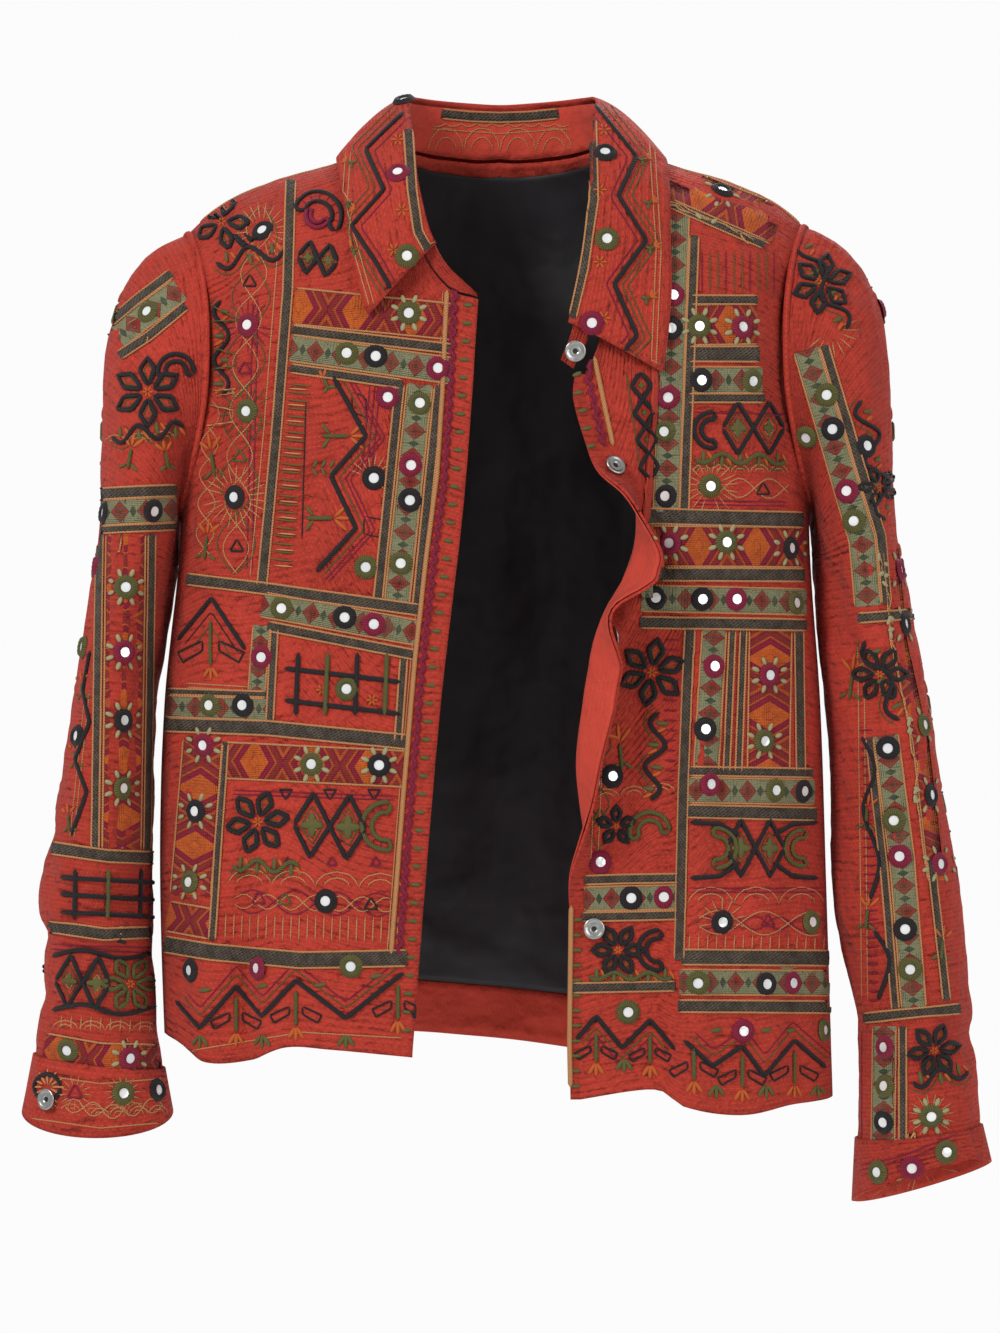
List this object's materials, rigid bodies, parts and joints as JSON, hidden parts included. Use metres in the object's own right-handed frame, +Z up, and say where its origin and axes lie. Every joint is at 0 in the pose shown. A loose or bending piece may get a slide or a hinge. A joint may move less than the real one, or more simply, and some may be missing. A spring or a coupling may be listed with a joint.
{
  "type": "embroidered jacket",
  "caption": "Long-sleeved embroidered jacket hanging open, with a turned-down collar, flared cuffs, plain facings and a dark back lining; a hollow shell held at its shoulders.",
  "frame": {"origin": "middle of the neck, level with the back neck seam, where the wearer's shoulders hold the jacket", "axes": "+Z up along the body, +X to the wearer's left, -Y to the front"},
  "size_m": [0.692, 0.2283, 0.7956],
  "materials": {
    "embroidered_cotton": "matte, densely stitched",
    "plain_cotton": "matte",
    "dark_lining": "soft satin",
    "button_metal": "worn metal"
  },
  "bodies": {
    "root": {"front_right": "embroidered_cotton", "front_left": "embroidered_cotton", "back": "embroidered_cotton", "sleeve_right": "embroidered_cotton", "sleeve_left": "embroidered_cotton", "cuff_right": "embroidered_cotton", "cuff_left": "embroidered_cotton", "collar_stand": "embroidered_cotton", "collar_leaf": "embroidered_cotton", "facing_right": "plain_cotton", "facing_left": "plain_cotton", "hem_facing_back": "plain_cotton", "lining_back": "dark_lining", "button_1": "button_metal", "button_2": "button_metal", "button_3": "button_metal", "button_4": "button_metal", "button_collar": "button_metal", "button_cuff_right": "button_metal", "button_cuff_left": "button_metal"}
  },
  "joints": []
}
